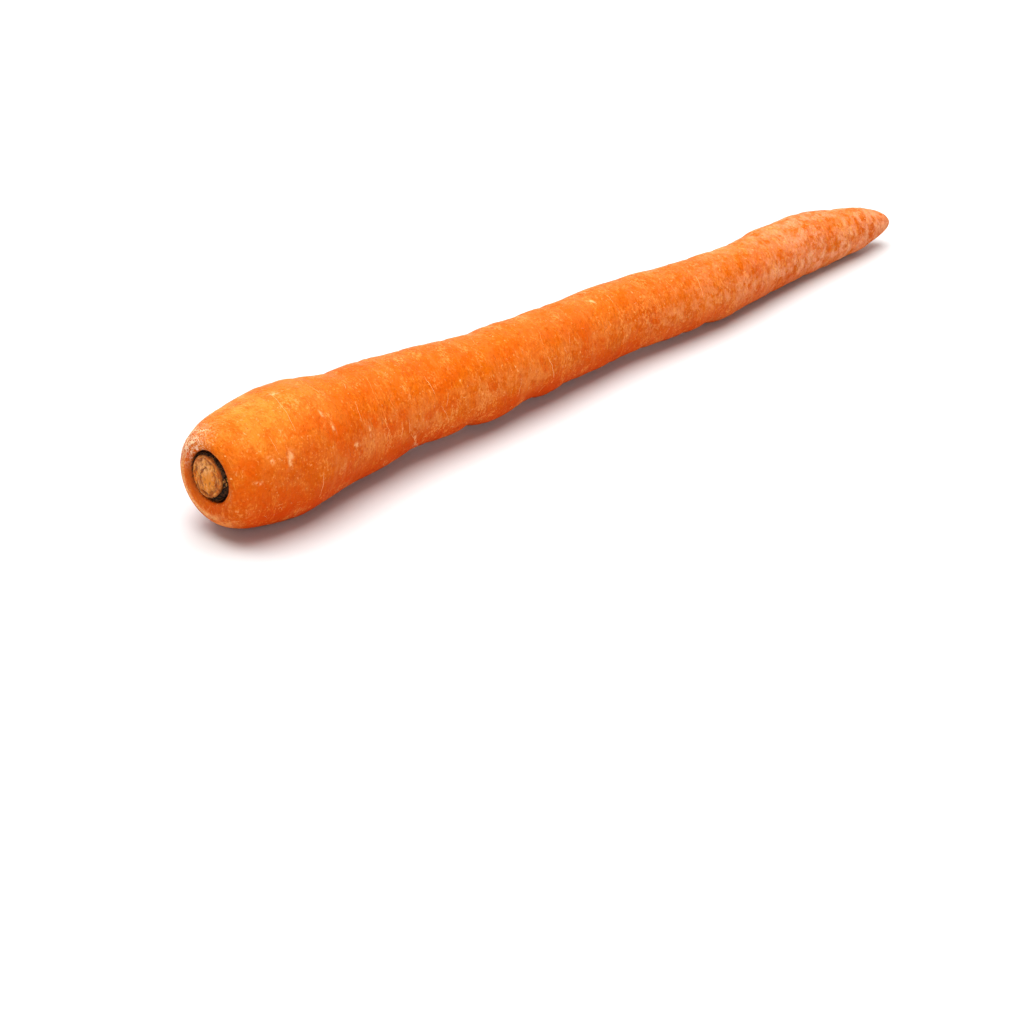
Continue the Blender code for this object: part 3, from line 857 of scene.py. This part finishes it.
class Graph:
    """A material's nodes, with short ways to add the kinds that are used here."""

    def __init__(self, name):
        self.material = bpy.data.materials.new(name)
        self.material.use_nodes = True
        tree = self.material.node_tree
        self.nodes, self.links = tree.nodes, tree.links
        self.shader = self.nodes["Principled BSDF"]
        self.place = self.nodes.new("ShaderNodeTexCoord").outputs["Object"]
        self.colour = None

    def feed(self, socket, value):
        """Links an output to a socket, or sets a plain value on it."""
        if isinstance(value, bpy.types.NodeSocket):
            self.links.new(value, socket)
        elif isinstance(value, tuple) and len(value) == 3 and len(socket.default_value) == 4:
            socket.default_value = (*value, 1)
        else:
            socket.default_value = value

    def mask(self, name):
        made = self.nodes.new("ShaderNodeAttribute")
        made.attribute_name = name
        return made.outputs["Fac"]

    def noise(self, size, detail, roughness, offset, distortion=0.0):
        """Noise from 0 to 1 with features of a size in millimetres along x, y and z."""
        placed = self.nodes.new("ShaderNodeMapping")
        self.links.new(self.place, placed.inputs["Vector"])
        placed.inputs["Scale"].default_value = [1 / (each * MM) for each in size]
        placed.inputs["Location"].default_value = (offset, offset * 1.7, offset * 0.6)
        made = self.nodes.new("ShaderNodeTexNoise")
        self.links.new(placed.outputs["Vector"], made.inputs["Vector"])
        made.inputs["Scale"].default_value = 1
        made.inputs["Detail"].default_value = detail
        made.inputs["Roughness"].default_value = roughness
        made.inputs["Distortion"].default_value = distortion
        return made.outputs["Fac"]

    def step(self, value, low, high, to_low=0.0, to_high=1.0):
        """A smooth step of a value from low to high, onto another range."""
        made = self.nodes.new("ShaderNodeMapRange")
        made.interpolation_type = "SMOOTHSTEP"
        self.feed(made.inputs["Value"], value)
        self.feed(made.inputs["From Min"], low)
        self.feed(made.inputs["From Max"], high)
        made.inputs["To Min"].default_value = to_low
        made.inputs["To Max"].default_value = to_high
        return made.outputs["Result"]

    def math(self, operation, *values):
        made = self.nodes.new("ShaderNodeMath")
        made.operation = operation
        for socket, value in zip(made.inputs, values):
            self.feed(socket, value)
        return made.outputs["Value"]

    def times(self, value, *others):
        for other in others:
            value = self.math("MULTIPLY", value, other)
        return value

    def plus(self, value, other):
        return self.math("ADD", value, other)

    def mix(self, below, above, share):
        made = self.nodes.new("ShaderNodeMix")
        made.data_type = "RGBA"
        self.feed(made.inputs["Factor"], share)
        self.feed(made.inputs[6], below)
        self.feed(made.inputs[7], above)
        return made.outputs[2]

    def lay(self, above, *shares):
        """Lays a colour over what is there, as far as the product of the shares."""
        self.colour = self.mix(self.colour, above, self.times(*shares))

    def bump(self, height, distance, strength, below=None):
        made = self.nodes.new("ShaderNodeBump")
        made.inputs["Strength"].default_value = strength
        made.inputs["Distance"].default_value = distance * MM
        self.feed(made.inputs["Height"], height)
        if below is not None:
            self.feed(made.inputs["Normal"], below)
        return made.outputs["Normal"]

    def finish(self, roughness, normal, settings):
        """Links what varies over the surface, and sets the rest on the shader's own sockets."""
        self.feed(self.shader.inputs["Base Color"], self.colour)
        self.feed(self.shader.inputs["Roughness"], roughness)
        if normal is not None:
            self.feed(self.shader.inputs["Normal"], normal)
        for name, value in settings.items():
            self.shader.inputs[name].default_value = value
        return self.material


DEEP_ORANGE = (0.610, 0.096, 0.0009)
MID_ORANGE = (0.640, 0.117, 0.0012)
LIGHT_ORANGE = (0.69, 0.143, 0.0026)
LIT_TOP_ORANGE = (0.65, 0.150, 0.0016)
LIT_YELLOW_ORANGE = (0.86, 0.35, 0.055)
BLOTCH_ORANGE = (0.68, 0.102, 0.0006)
PORE_ORANGE = (0.48, 0.068, 0.0007)
# Painted shade: the darker orange of the underside
UNDERSIDE_SHADE_ORANGE = (0.62, 0.060, 0.001)
PALE_VEIL = (0.80, 0.270, 0.076)
FAR_VEIL = (0.83, 0.380, 0.215)
PALE_GRAIN = (0.88, 0.33, 0.065)
PALE_FLECK = (0.94, 0.54, 0.235)
SCAR_CREAM = (0.94, 0.58, 0.29)
DUST_YELLOW = (0.90, 0.40, 0.115)
FLAKY_SKIN = (0.94, 0.68, 0.48)
RIM_HIGHLIGHT_PALE = (0.95, 0.53, 0.22)
SPECK_BROWN = (0.42, 0.07, 0.006)
# Painted shade in the socket
PIT_SHADE_BROWN = (0.32, 0.075, 0.014)
TIP_BROWN = (0.25, 0.10, 0.03)
SKIN_FLESH = {
    "IOR": 1.38,
    "Specular IOR Level": 0.10,
    "Subsurface Weight": 0.15,
    "Subsurface Radius": (1.0, 0.35, 0.12),
    "Subsurface Scale": 0.0008,
}


def skin_ground(g):
    """Uneven orange with painted light, lighter and yellower on the top and on top of the crown, and
    deeper blotches, fewer on the top. Returns the skin they leave open.
    """
    broad = g.noise((15, 12, 12), 2, 0.5, 3.1)
    middle = g.noise((3.2, 4.2, 4.2), 3, 0.55, 8.2)
    blend = g.plus(g.times(broad, 0.6), g.times(middle, 0.4))
    g.colour = g.mix(DEEP_ORANGE, MID_ORANGE, g.step(blend, 0.38, 0.50))
    g.lay(LIGHT_ORANGE, g.step(blend, 0.50, 0.62))
    # Painted light: a lighter, yellower orange on the top
    g.lay(LIT_TOP_ORANGE, g.mask("lit_top"), 0.6)
    # Painted light: a yellower patch on top of the crown and neck
    g.lay(LIT_YELLOW_ORANGE, g.mask("lit_crown"), g.step(middle, 0.20, 0.70), 0.8)
    blotch = g.step(g.noise((9, 8, 8), 2, 0.45, 17.3), 0.53, 0.60)
    blotch = g.times(blotch, g.step(g.mask("far"), 0.0, 1.0, 1.0, 0.45))
    # Painted light: fewer deep blotches on the top
    blotch = g.times(blotch, g.step(g.mask("lit_top"), 0.2, 1.0, 1.0, 0.35))
    open_skin = g.math("SUBTRACT", 1, g.times(blotch, 0.8))
    g.lay(BLOTCH_ORANGE, blotch, 0.58)
    return open_skin


def skin_veil(g, grain, open_skin):
    """A thin pale veil in ragged patches where the skin is rubbed, partly a painted reflection on the
    near flank and along the top back edge, then painted shade on the underside. Returns how thick the
    veil is.
    """
    broad = g.noise((8, 9.5, 9.5), 3, 0.5, 29.3)
    ragged = g.noise((1.9, 2.2, 2.2), 3, 0.6, 33.1)
    patches = g.step(g.plus(g.times(broad, 0.42), g.times(ragged, 0.58)), 0.45, 0.55)
    mottled = g.step(g.noise((2.7, 3.1, 3.1), 4, 0.65, 113.9), 0.44, 0.54)
    finer = g.times(g.math("SUBTRACT", mottled, patches), g.mask("far"))
    patches = g.plus(patches, g.times(finer, 0.6))
    veil = g.times(g.step(grain, 0.28, 0.60, 0.4, 1.0), patches, open_skin, g.mask("rub_and_sheen"))
    veil_colour = g.mix(PALE_VEIL, FAR_VEIL, g.mask("far"))
    g.lay(veil_colour, veil, 0.75)
    # Painted shade: a deeper, darker orange laid over the underside
    g.lay(UNDERSIDE_SHADE_ORANGE, g.mask("under"), 0.75)
    return veil


def skin_grain(g, veil, open_skin):
    """Small dark pores, pale dots and glints, and clouds of fine dust. Returns the dots."""
    pits = g.step(g.noise((0.6, 0.8, 0.8), 2, 0.6, 31.9), 0.52, 0.34)
    pits = g.times(pits, g.step(veil, 1.0, -0.2))
    g.lay(PORE_ORANGE, pits, 0.33)
    where = g.step(g.noise((4.5, 6, 6), 2, 0.5, 41.1), 0.36, 0.60)
    where = g.plus(g.times(where, open_skin), g.plus(g.mask("rub_and_sheen"), g.mask("lit_crown")))
    where = g.step(where, 0.0, 1.1)
    dots = g.step(g.noise((0.65, 0.85, 0.85), 2, 0.6, 35.7), 0.52, 0.66)
    dots = g.times(dots, where)
    g.lay(PALE_GRAIN, dots, 0.32)
    glints = g.step(g.noise((0.7, 0.9, 0.9), 2, 0.6, 37.3), 0.62, 0.70)
    g.lay(PALE_FLECK, glints, where, 0.34)
    cloud = g.step(g.noise((4.5, 6.5, 6.5), 2.5, 0.55, 101.3), 0.53, 0.64)
    cloud = g.times(cloud, g.step(g.mask("clean"), 0.0, 0.8, 1.0, 0.1))
    dust = g.step(g.noise((0.5, 0.8, 0.8), 3, 0.7, 107.7), 0.48, 0.60)
    g.lay(DUST_YELLOW, dust, cloud, 0.50)
    return dots


def skin_marks(g, open_skin):
    """Pale hairlines, flecks, brown specks, creases and scars. Returns the hairlines."""
    hairlines = g.step(g.noise((0.38, 3.4, 3.4), 2, 0.5, 47.9), 0.60, 0.68)
    where = g.step(g.noise((7, 9, 9), 1.5, 0.5, 53.3), 0.44, 0.60)
    hairlines = g.times(hairlines, where, open_skin)
    g.lay(PALE_GRAIN, hairlines, 0.35)
    flecks = g.step(g.noise((0.9, 1.5, 1.5), 3, 0.6, 59.9), 0.68, 0.74)
    g.lay(PALE_FLECK, flecks, 0.6)
    specks = g.step(g.noise((0.9, 1.3, 1.3), 1, 0.5, 63.1), 0.74, 0.79)
    g.lay(SPECK_BROWN, specks, 0.45)
    g.lay(PALE_VEIL, g.mask("crease"), 0.25)
    torn = g.step(g.noise((0.8, 0.8, 0.8), 3, 0.6, 65.3), 0.34, 0.56)
    g.lay(SCAR_CREAM, g.mask("scar"), torn, 0.7)
    return hairlines


def skin_ends(g, grain):
    """The crown's flakes, its pale rim with a painted rim highlight, painted shade in the socket, and
    the brown tip. Returns the flakes.
    """
    cracks = g.step(g.noise((0.6, 0.8, 0.8), 4, 0.7, 71.9, 1.5), 0.46, 0.60)
    flaky = g.times(g.mask("flaky"), cracks)
    g.lay(FLAKY_SKIN, flaky, 0.85)
    # Painted rim highlight on the crown's far edge, with a fainter pale band at its lower edge, broken
    # by the cracks
    g.lay(RIM_HIGHLIGHT_PALE, g.mask("rim"), g.step(cracks, -0.7, 0.75))
    # Painted shade: reddish brown in the socket and on its far wall
    g.lay(PIT_SHADE_BROWN, g.mask("pit_shade"))
    tip = g.step(g.plus(g.mask("tip"), g.times(grain, 0.8)), 0.7, 1.2)
    g.lay(TIP_BROWN, tip, 0.8)
    return flaky


def skin_material():
    """Carrot skin: uneven orange under a thin pale grainy veil, with hairlines and flecks."""
    g = Graph("carrot skin")
    grain = g.noise((0.7, 0.9, 0.9), 4, 0.7, 23.9)
    open_skin = skin_ground(g)
    veil = skin_veil(g, grain, open_skin)
    dots = skin_grain(g, veil, open_skin)
    hairlines = skin_marks(g, open_skin)
    flaky = skin_ends(g, grain)

    gloss = g.step(g.noise((3, 5, 5), 3, 0.6, 77.3), 0.3, 0.7, 0.38, 0.52)
    gloss = g.plus(gloss, g.times(veil, 0.15))
    dull = g.plus(g.times(g.mask("flaky"), 0.2), g.times(g.mask("under"), 0.3))
    gloss = g.plus(gloss, dull)
    lines = g.noise((0.6, 3.6, 3.6), 3, 0.55, 83.9)
    pores = g.noise((0.65, 0.9, 0.9), 3, 0.65, 89.3)
    normal = g.bump(g.plus(g.times(lines, 0.4), g.times(pores, 0.6)), 0.75, 1.0)
    marks = g.plus(g.plus(dots, g.times(flaky, 1.5)), hairlines)
    normal = g.bump(marks, 0.05, 0.7, normal)
    return g.finish(gloss, normal, SKIN_FLESH)


STUB_TAN = (0.69, 0.252, 0.026)
STUB_CREAM = (0.90, 0.53, 0.24)
STUB_YELLOW = (0.68, 0.220, 0.009)
STUB_ORANGE = (0.62, 0.155, 0.009)
STUB_BROWN = (0.25, 0.055, 0.008)
STUB_FLESH = {
    "IOR": 1.4,
    "Specular IOR Level": 0.35,
    "Subsurface Weight": 0.12,
    "Subsurface Radius": (1.0, 0.5, 0.2),
    "Subsurface Scale": 0.001,
}


def stub_material():
    """The cut face: tan and cream sheaths, yellow-orange in the middle, with brown seams."""
    g = Graph("cut leaf stalk")
    tones = g.noise((1.7, 1.7, 1.7), 4, 0.6, 5.3)
    g.colour = g.mix(STUB_TAN, STUB_ORANGE, g.step(tones, 0.44, 0.62))
    fibres = g.step(g.noise((0.6, 0.45, 1.3), 4, 0.65, 13.7), 0.50, 0.62)
    g.lay(STUB_CREAM, fibres, 0.45)
    g.lay(STUB_YELLOW, g.mask("heart"), g.step(fibres, 1.6, -0.2), 1.1)
    g.lay(STUB_CREAM, g.mask("cream"), g.step(tones, 0.25, 0.55), 0.68)
    seams = g.step(g.noise((0.8, 0.8, 0.8), 4, 0.65, 17.9), 0.54, 0.66)
    g.lay(STUB_BROWN, seams, 0.6)
    g.lay(STUB_BROWN, g.mask("groove"), 0.85)
    g.lay(STUB_BROWN, g.mask("side"), 0.6)
    normal = g.bump(g.noise((0.35, 0.35, 0.6), 4, 0.6, 19.1), 0.12, 0.8)
    return g.finish(g.step(tones, 0.3, 0.7, 0.42, 0.62), normal, STUB_FLESH)


COLLAR_BLACK = (0.012, 0.006, 0.004)
COLLAR_DARK = (0.085, 0.042, 0.022)
COLLAR_BROWN = (0.50, 0.21, 0.070)
COLLAR_PALE = (0.62, 0.38, 0.09)
ROOTLET_DARK = (0.86, 0.36, 0.10)
ROOTLET_PALE = (0.95, 0.68, 0.42)
HAIR_DARK = (0.62, 0.38, 0.18)
HAIR_PALE = (0.88, 0.74, 0.52)
FLOOR_LOW = (0.70, 0.70, 0.70)
FLOOR_HIGH = (0.72, 0.72, 0.72)
FLOOR_ROUGHNESS = 0.7


def collar_material():
    """Dark, damp leaf bases, from near black to brown, with the odd dry yellowish bit."""
    g = Graph("dry leaf base")
    tone = g.mask("tone")
    mottle = g.noise((0.7, 0.7, 0.7), 4, 0.6, 7.7)
    g.colour = g.mix(COLLAR_BLACK, COLLAR_DARK, g.step(mottle, 0.42, 0.56))
    g.lay(COLLAR_BROWN, g.step(tone, 0.45, 0.95), 0.8)
    g.lay(COLLAR_PALE, g.step(tone, 0.98, 1.08))
    normal = g.bump(g.noise((0.25, 0.5, 0.5), 4, 0.6, 11.3), 0.10, 0.8)
    settings = {"Specular IOR Level": 0.12}
    return g.finish(g.step(mottle, 0.3, 0.7, 0.5, 0.8), normal, settings)


def fibre_material(name, dark, pale, roughness):
    """Dry fibres, each a little different in tone."""
    g = Graph(name)
    along = g.noise((1.2, 1.2, 1.2), 2, 0.5, 9.1)
    share = g.plus(g.times(g.mask("tone"), 0.6), g.times(along, 0.4))
    g.colour = g.mix(dark, pale, g.step(share, 0.2, 0.8))
    normal = g.bump(along, 0.02, 0.5)
    return g.finish(g.step(along, 0.3, 0.7, roughness, roughness + 0.15), normal, {})


def floor_material():
    """A plain, almost even grey."""
    g = Graph("pale floor")
    shade = g.noise((90, 90, 90), 3, 0.5, 2.0)
    g.colour = g.mix(FLOOR_LOW, FLOOR_HIGH, shade)
    return g.finish(FLOOR_ROUGHNESS, None, {"Specular IOR Level": 0.15})


def dress(piece, material):
    """Gives a piece its material and lets it ride on the only body."""
    piece.data.materials.clear()
    piece.data.materials.append(material)
    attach(piece, "root")


# ---- Camera, floor and light


def aimed(name, data, place, direction):
    """A new object at a place, looking in a direction."""
    made = put(name, data)
    made.location = place
    made.rotation_mode = "QUATERNION"
    made.rotation_quaternion = direction.to_track_quat("-Z", "Y")
    return made


def camera():
    data = bpy.data.cameras.new("camera")
    data.lens, data.sensor_width = CAMERA_LENS, CAMERA_SENSOR
    data.clip_start = 0.01
    turn, rise = math.radians(CAMERA_AZIMUTH), math.radians(CAMERA_ELEVATION)
    back = Vector((
        math.sin(turn) * math.cos(rise), -math.cos(turn) * math.cos(rise), math.sin(rise),
    ))
    place = Vector(CAMERA_AIM) + back * CAMERA_DISTANCE
    bpy.context.scene.camera = aimed("camera", data, place, -back)


def floor():
    mesh = bpy.data.meshes.new("floor")
    edge = [
        (FLOOR_RADIUS * math.cos(turn), FLOOR_RADIUS * math.sin(turn), 0)
        for turn in circle(FLOOR_SIDES)
    ]
    mesh.from_pydata(edge, [], [tuple(range(FLOOR_SIDES))])
    mesh.materials.append(floor_material())
    made = put("floor", mesh)


def lights():
    """Soft area lights, and a world that is white to the camera and a dim grey to all else."""
    for name, place, aim, size, power in LIGHTS:
        data = bpy.data.lights.new(name, "AREA")
        data.shape, (data.size, data.size_y), data.energy = "RECTANGLE", size, power
        aimed(name, data, place, Vector(aim) - Vector(place)).visible_camera = False
    world = bpy.data.worlds.new("studio")
    world.use_nodes = True
    nodes, links = world.node_tree.nodes, world.node_tree.links
    path = nodes.new("ShaderNodeLightPath").outputs["Is Camera Ray"]
    grey = nodes.new("ShaderNodeMapRange")
    links.new(path, grey.inputs["Value"])
    grey.inputs["To Min"].default_value = WORLD_GREY
    grey.inputs["To Max"].default_value = 1.0
    links.new(grey.outputs["Result"], nodes["Background"].inputs["Color"])
    bpy.context.scene.world = world
    bpy.context.scene.view_settings.view_transform = "Standard"
    bpy.context.scene.view_settings.look = "Medium High Contrast"


skin = Skin()
skin_look = skin_material()
collar_look = collar_material()
dress(taproot(skin), skin_look)
for part in (leaf_base_ring(skin), leaf_base_shreds(skin)):
    dress(part, collar_look)
dress(leaf_stalk_stub(skin), stub_material())
fibres = skin_fibres(skin)
dress(fibres, fibre_material("dry rootlet", ROOTLET_DARK, ROOTLET_PALE, 0.55))
hairs = root_hairs(skin)
dress(hairs, fibre_material("root hair", HAIR_DARK, HAIR_PALE, 0.6))

camera()
floor()
lights()

bpy.context.view_layer.update()
